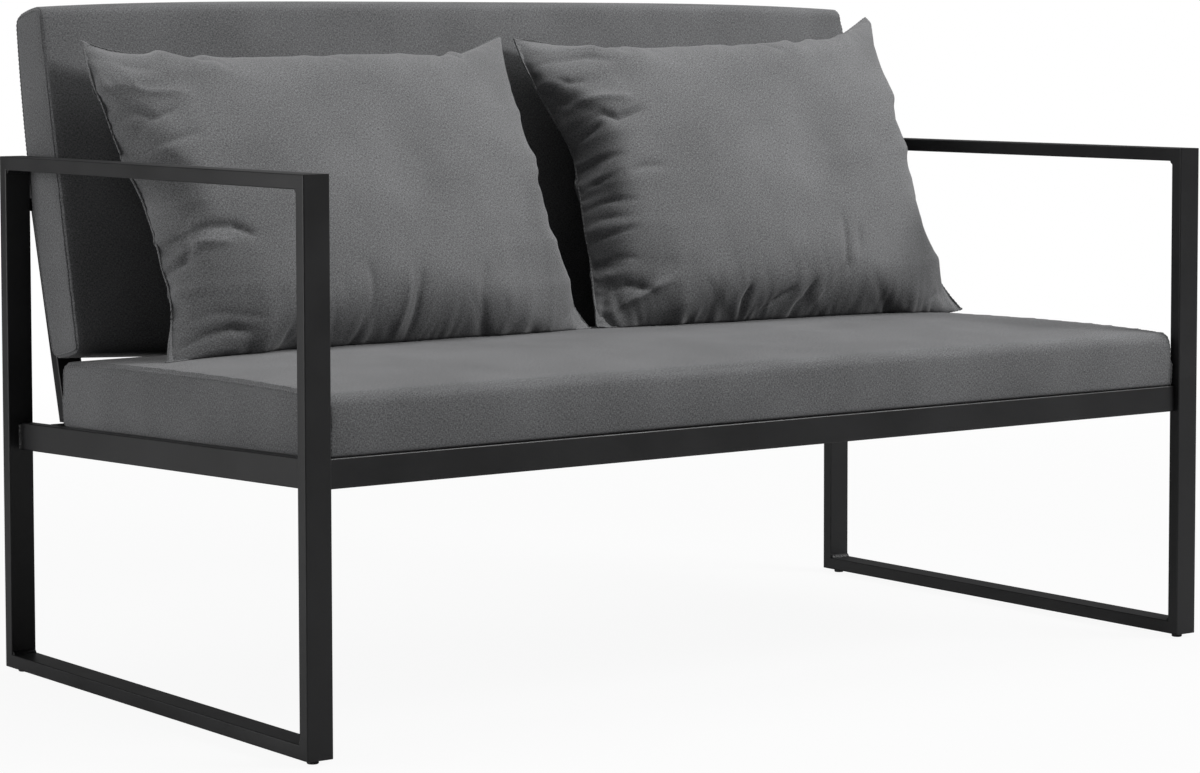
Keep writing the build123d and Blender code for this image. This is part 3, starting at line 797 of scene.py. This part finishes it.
def seat_cushion():
    """The seat cushion: crowned on top, flat below, with sewn end panels."""
    halves = (CUSHION_LENGTH / 2, SEAT_DEPTH / 2, SEAT_EDGE / 2)
    radii = (CUSHION_END_RADIUS, CUSHION_EDGE_RADIUS, CUSHION_EDGE_RADIUS)
    grid, faces, cloth, loops = box_grid(halves, radii)
    row_radii = np.tile(radii, (len(grid), 1))
    row_radii[grid[:, 2] < 0, 1:] = CUSHION_FOOT_RADIUS
    points = rounded(grid, halves, row_radii)
    u, v, w = (points / halves).T
    rise = np.clip((w + 1) / 2, 0, 1)
    crown = SEAT_END_CROWN + (SEAT_MIDDLE_CROWN - SEAT_END_CROWN) * (1 - u**CROWN_POWER)
    crown = crown * (1 - np.abs(v) ** SEAT_CROWN_POWER) + SEAT_REAR_RISE * ((v + 1) / 2) ** 2
    waves = top_waves(points, SEAT_WAVES, u, v)
    folds = pucker(points, points[:, 0], SEAT_PUCKER_SEED)
    points[:, 2] += rise * crown + np.clip(w, 0, 1) * (waves + folds)
    sides = CUSHION_SIDE_BULGE * (1 - w**2) + folds / 2 - SEAT_SIDE_DRAW * (1 - u**2)
    points[:, 1] += np.sign(v) * np.abs(v) ** SIDE_POWER * sides
    points[:, 0] += toward_ends(u) * (SEAT_END_SPREAD + SEAT_END_BULGE * (1 - v**SEAT_BULGE_POWER))
    # Past the last slat the foot sags a little beside the side rail
    past = np.interp(np.abs(points[:, 0]), SEAT_SAG_REACH, (0, 1))
    points[:, 2] -= SEAT_SAG * past * (1 - rise) * (1 - v**WAVE_POWER)
    points += (0, SEAT_FRONT + SEAT_DEPTH / 2, SEAT_LIFT + SEAT_EDGE / 2)
    tilt = radians(SEAT_TILT)
    place = axes_frame(SEAT_ORIGIN, (1, 0, 0), (0, cos(tilt), -sin(tilt)))
    return mesh_object("seat_cushion_cover", to_world(points, place), faces, cloth), loops


def back_cushion():
    """The back cushion: crowned on both faces, with its long edges bellied out."""
    halves = (CUSHION_LENGTH / 2, BACK_HEIGHT / 2, BACK_EDGE / 2)
    radii = (CUSHION_END_RADIUS, CUSHION_EDGE_RADIUS, CUSHION_EDGE_RADIUS)
    grid, faces, cloth, loops = box_grid(halves, radii)
    points = rounded(grid, halves, np.tile(radii, (len(grid), 1)))
    u, v, w = (points / halves).T
    fullness = 1 - u**2
    front = BACK_END_CROWN + (BACK_MIDDLE_CROWN - BACK_END_CROWN) * fullness
    waves = top_waves(points, BACK_WAVES, u, v)
    folds = pucker(points, points[:, 0], BACK_PUCKER_SEED)
    points[:, 2] += w * np.where(w > 0, front, BACK_REAR_CROWN) * (1 - v**2)
    points[:, 2] += np.clip(w, 0, 1) * (waves + folds)
    top_belly = BACK_TOP_BELLY * (1 - u**BELLY_POWER) + BACK_TOP_LIFT
    belly = np.where(v > 0, top_belly, BACK_FOOT_BELLY * fullness)
    sides = CUSHION_SIDE_BULGE * (1 - w**2) * np.abs(v) ** SIDE_POWER
    points[:, 1] += v * belly + np.sign(v) * sides
    points[:, 0] += toward_ends(u) * BACK_END_BULGE * (1 - v**2)
    points[:, 0] += u * BACK_END_SPREAD * np.clip(v, 0, 1)
    points += (0, BACK_HEIGHT / 2, BACK_EDGE / 2)
    lean = radians(BACK_LEAN)
    place = axes_frame(BACK_FOOT, (1, 0, 0), (0, sin(lean), cos(lean)))
    return mesh_object("back_cushion_cover", to_world(points, place), faces, cloth), loops


# Pillows
def side_points(side, count):
    """Points evenly along one side of a hem, in metres, smoothed between its two ends."""
    side = np.array(side) * MILLIMETRE
    steps = np.linalg.norm(np.diff(side, axis=0), axis=1)
    run = np.concatenate(([0], np.cumsum(steps)))
    at = np.linspace(0, run[-1], count)
    line = np.stack([np.interp(at, run, side[:, axis]) for axis in range(2)], axis=1)
    kernel = np.array((1, 2, 3, 2, 1)) / 9
    padded = np.vstack((2 * line[:1] - line[2:0:-1], line, 2 * line[-1:] - line[-2:-4:-1]))
    soft = np.stack([np.convolve(padded[:, axis], kernel, "valid") for axis in range(2)], axis=1)
    soft[0], soft[-1] = line[0], line[-1]
    return soft


def two_sheets(length, height, columns, rows):
    """Two sheets sewn together round their edge.

    Returns the points, their shares across, up and to the front or back, the faces, their cloth
    coordinates, and each point's number by sheet, column and row.
    """
    points, shares, faces, cloth, index = [], [], [], [], {}
    for side in (1, -1):
        for j in range(rows + 1):
            for i in range(columns + 1):
                if side < 0 and (i in (0, columns) or j in (0, rows)):
                    index[side, i, j] = index[1, i, j]
                    continue
                a, b = 2 * i / columns - 1, 2 * j / rows - 1
                puff = side * SHEET_PUFF * (1 - a * a) * (1 - b * b)
                index[side, i, j] = len(points)
                shares.append((a, b, side))
                points.append((a * length / 2, b * height / 2, puff))
    for side in (1, -1):
        for j in range(rows):
            for i in range(columns):
                corners = [(i, j), (i + 1, j), (i + 1, j + 1), (i, j + 1)]
                if side < 0:
                    corners.reverse()
                faces.append([index[side, a, b] for a, b in corners])
                cloth += [(a * SHEET_STEP, b * SHEET_STEP) for a, b in corners]
    return np.array(points), np.array(shares), faces, cloth, index


def cloth_shares(piece, length, height):
    """How far along and up its sheet each point of a piece lies, from its cloth coordinates."""
    corners = np.zeros(len(piece.data.loops) * 2)
    piece.data.uv_layers["cloth"].data.foreach_get("uv", corners)
    owners = np.zeros(len(piece.data.loops), int)
    piece.data.loops.foreach_get("vertex_index", owners)
    places = np.zeros((len(piece.data.vertices), 2))
    places[owners] = corners.reshape(-1, 2)
    return np.clip(places[:, 0] / length, 0, 1), np.clip(places[:, 1] / height, 0, 1)


def fill_with_cloth(piece):
    """Blow the sewn sheets up by cloth simulation under pressure."""
    cloth = piece.modifiers.new("cloth", "CLOTH")
    settings = cloth.settings
    settings.quality = 5
    settings.mass = 0.2
    settings.air_damping = 3
    settings.tension_stiffness = 15
    settings.compression_stiffness = 15
    settings.shear_stiffness = 5
    settings.bending_stiffness = 0.05
    settings.use_pressure = True
    settings.uniform_pressure_force = PILLOW_PRESSURE
    settings.effector_weights.gravity = 0
    cloth.collision_settings.use_collision = False
    cloth.point_cache.frame_start = 1
    cloth.point_cache.frame_end = PILLOW_FRAMES
    scene = bpy.context.scene
    for number in range(1, PILLOW_FRAMES + 1):
        scene.frame_set(number)
    apply_modifiers(piece)
    scene.frame_set(1)


def crease_depth(u, v, creases):
    """How far the creases draw the front in at each point of the pillow's plane."""
    total = np.zeros(len(u))
    for depth, width, line in creases:
        line = np.array(line) * MILLIMETRE
        runs = np.linalg.norm(np.diff(line, axis=0), axis=1)
        nearest = np.full(len(u), np.inf)
        share = np.zeros(len(u))
        done = 0
        for start, end, run in zip(line[:-1], line[1:], runs):
            way = (end - start) / run
            along = np.clip((u - start[0]) * way[0] + (v - start[1]) * way[1], 0, run)
            away = np.hypot(u - start[0] - along * way[0], v - start[1] - along * way[1])
            closer = away < nearest
            nearest = np.where(closer, away, nearest)
            share = np.where(closer, (done + along) / runs.sum(), share)
            done += run
        swell = np.sin(pi * share) ** CREASE_TAPER_POWER
        taper = CREASE_END_SHARE + (1 - CREASE_END_SHARE) * swell
        away = nearest / (CREASE_WIDTH_SHARE * width * MILLIMETRE)
        total += depth * MILLIMETRE * taper * np.exp(-away) * (1 - CREASE_LIP * away)
    return total


def gathers(shares, length, height, sides, seed):
    """How far the gathers along each sewn side draw the cloth in, at each point's share."""
    a, b = shares
    total = np.zeros(len(a))
    runs = {
        "left": (a * length, b * height),
        "right": ((1 - a) * length, b * height),
        "bottom": (b * height, a * length),
        "top": ((1 - b) * height, a * length),
    }
    for number, (side, (depth, pitch, reach)) in enumerate(sides.items()):
        away, along = runs[side]
        stretched = away / (GATHER_STRETCH * pitch)
        places = np.stack((along / pitch, stretched, np.zeros(len(a))), axis=1)
        folds = 1 - GATHER_SHARPNESS * np.abs(wave_field(places, 1, seed + number))
        # Some gathers run further in, and some are stronger, than those beside them
        amount, spacing, step = GATHER_LENGTH_NOISE
        longer = 1 + amount * wave_field(places, spacing, seed + number + step)
        amount, spacing, step = GATHER_STRENGTH_NOISE
        strong = GATHER_STRENGTH + amount * wave_field(places, spacing, seed + number + step)
        strong = np.clip(strong, *GATHER_STRENGTH_RANGE)
        fade = np.exp(-((away / (reach * longer)) ** GATHER_FADE_POWER))
        total += depth * strong * folds * fade * (1 - np.exp(-away / GATHER_FINE))
    return total


def hem_lines(index, columns, rows):
    """The point numbers along each sewn side of the sheets."""
    return {
        "left": [index[1, 0, j] for j in range(rows + 1)],
        "right": [index[1, columns, j] for j in range(rows + 1)],
        "bottom": [index[1, i, 0] for i in range(columns + 1)],
        "top": [index[1, i, rows] for i in range(columns + 1)],
    }


def stretch_to_hem(points, s, t, lines, hem):
    """Move the filled sheets so that their four sides follow the hem."""
    left, right, bottom, top = (
        side_points(hem[side], len(lines[side])) - points[lines[side], :2]
        for side in ("left", "right", "bottom", "top")
    )
    row = np.rint(t[:, 0] * (len(left) - 1)).astype(int)
    column = np.rint(s[:, 0] * (len(top) - 1)).astype(int)
    points[:, :2] += (1 - s) * left[row] + s * right[row]
    points[:, :2] += (1 - t) * bottom[column] + t * top[column]
    points[:, :2] -= (1 - t) * ((1 - s) * bottom[0] + s * bottom[-1])
    points[:, :2] -= t * ((1 - s) * top[0] + s * top[-1])


def slope_faces(points, s, t, facing):
    """Give both faces their fullness. The left side and the front's foot slope away gently."""
    for side, bulge in zip((1, -1), PILLOW_BULGES):
        half = facing * side > 0
        points[half, 2] *= bulge / np.abs(points[half, 2]).max()
    nearness = [
        slope * np.clip(1 - share[:, 0] / reach, 0, 1)
        for slope, share, reach in zip(PILLOW_SLOPES, (s, t), PILLOW_SLOPE_REACH)
    ]
    high = points[:, 2].copy()
    front = np.clip(high / PILLOW_BULGES[0], 0, 1) ** (1 + np.maximum(*nearness))
    back = np.clip(-high / PILLOW_BULGES[1], 0, 1) ** (1 + PILLOW_BACK_SLOPE * nearness[0])
    points[:, 2] = np.where(high > 0, PILLOW_BULGES[0] * front, -PILLOW_BULGES[1] * back)


def wrinkled(piece, hand, size, grid):
    """The piece's points, creased in front and gathered along the hem."""
    points, normals = mesh_points(piece), mesh_normals(piece)
    a, b = cloth_shares(piece, *(cells * SHEET_STEP for cells in grid))
    drop = gathers((a, b), *size, GATHERS[hand], GATHER_SEEDS[hand])
    inside = np.clip(CREASE_EDGE_FADE * a * b * (1 - a) * (1 - b), 0, 1)
    creased = crease_depth(points[:, 0], points[:, 1], CREASES[hand])
    drop += np.where(points[:, 2] > 0, creased * inside, 0)
    return points - normals * drop[:, None]


def pillow_plane(turn, lean, centre):
    """A pillow's plane in the world, from its turn about the vertical and its lean."""
    turn, lean = radians(turn), radians(lean)
    right = (cos(turn), sin(turn), 0)
    out = (sin(turn) * cos(lean), -cos(turn) * cos(lean), sin(lean))
    return axes_frame(centre, right, np.cross(out, right))


def pillow(hand):
    """A stuffed pillow, blown up, stretched to its hem, wrinkled and put in place."""
    facts = PILLOWS[hand]
    spans = {}
    for side, axis in (("left", 1), ("right", 1), ("top", 0), ("bottom", 0)):
        spans[side] = abs(facts[side][-1][axis] - facts[side][0][axis]) * MILLIMETRE
    length = SHEET_SLACK * (spans["top"] + spans["bottom"]) / 2
    height = SHEET_SLACK * (spans["left"] + spans["right"]) / 2
    columns, rows = round(length / SHEET_STEP), round(height / SHEET_STEP)
    points, shares, faces, cloth, index = two_sheets(length, height, columns, rows)
    piece = mesh_object(f"{hand}_pillow_cover", points, faces, cloth)
    fill_with_cloth(piece)
    points = mesh_points(piece)
    s, t = (shares[:, :2].T[:, :, None] + 1) / 2
    lines = hem_lines(index, columns, rows)
    stretch_to_hem(points, s, t, lines, facts)
    slope_faces(points, s, t, shares[:, 2])
    set_points(piece, points)
    smooth = piece.modifiers.new("smooth", "SUBSURF")
    smooth.levels = 1
    apply_modifiers(piece)
    points = wrinkled(piece, hand, (length, height), (columns, rows))
    place = pillow_plane(facts["turn"], facts["lean"], facts["centre"])
    set_points(piece, to_world(points, place))
    border = lines["bottom"] + lines["right"][1:] + lines["top"][-2::-1]
    return piece, border + lines["left"][-2:0:-1]


def dress_frame():
    """Give every CAD node the material of its slot, and the welds a rippled coat."""
    slot_materials = {
        "black_frame": powder_coat("powder_coat", False),
        "zinc_steel": zinc(),
        "glide_plastic": moulded_plastic(),
    }
    welded = powder_coat("weld_coat", True)
    slots = {part["node"]: part["material_slot"] for part in frame["record"]["subparts"]}
    for name, node in frame["nodes"].items():
        material = slot_materials.get(slots.get(name), slot_materials["black_frame"])
        node.data.materials.clear()
        node.data.materials.append(welded if name.endswith("welds") else material)


make_camera()
make_floor()
make_backdrop()
make_lamps()
dress_frame()
cushion_fabric = woven_fabric("cushion_fabric", CUSHION_COLOUR, CUSHION_SHEEN, CUSHION_BUMP)
pillow_fabric = woven_fabric("pillow_fabric", PILLOW_COLOUR, PILLOW_SHEEN, PILLOW_BUMP)
thread = sewing_thread()

# The soft pieces, each laid clear of what carries it, with their seams
UPWARD = (0, 0, 1)
OFF_THE_BACK = (0, -cos(radians(BACK_LEAN)), sin(radians(BACK_LEAN)))
seat, seat_loops = seat_cushion()
back, back_loops = back_cushion()
rest_on(back, seat, UPWARD)
soft = [(seat, "seat_cushion", cushion_fabric), (back, "back_cushion", cushion_fabric)]
seams = []
for body, piece, loops in (("seat_cushion", seat, seat_loops), ("back_cushion", back, back_loops)):
    for hand, ridge, row in zip(("left", "right"), loops[:2], loops[2:]):
        seams.append((seam_ridge(f"{body}_{hand}_seam", piece, ridge), body, cushion_fabric))
        seams.append((stitches(f"{body}_{hand}_stitches", piece, row), body, thread))
for hand in ("left", "right"):
    piece, border = pillow(hand)
    rest_on(piece, back, OFF_THE_BACK)
    rest_on(piece, seat, UPWARD)
    body = f"{hand}_pillow"
    soft.append((piece, body, pillow_fabric))
    seams.append((seam_ridge(f"{hand}_pillow_seam", piece, border), body, pillow_fabric))

for piece, body, fabric in soft:
    piece.data.materials.append(fabric)
    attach(piece, body)
    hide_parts(body)
for piece, body, fabric in seams:
    piece.data.materials.append(fabric)
    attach(piece, body)

bpy.context.scene.view_settings.view_transform = "Standard"
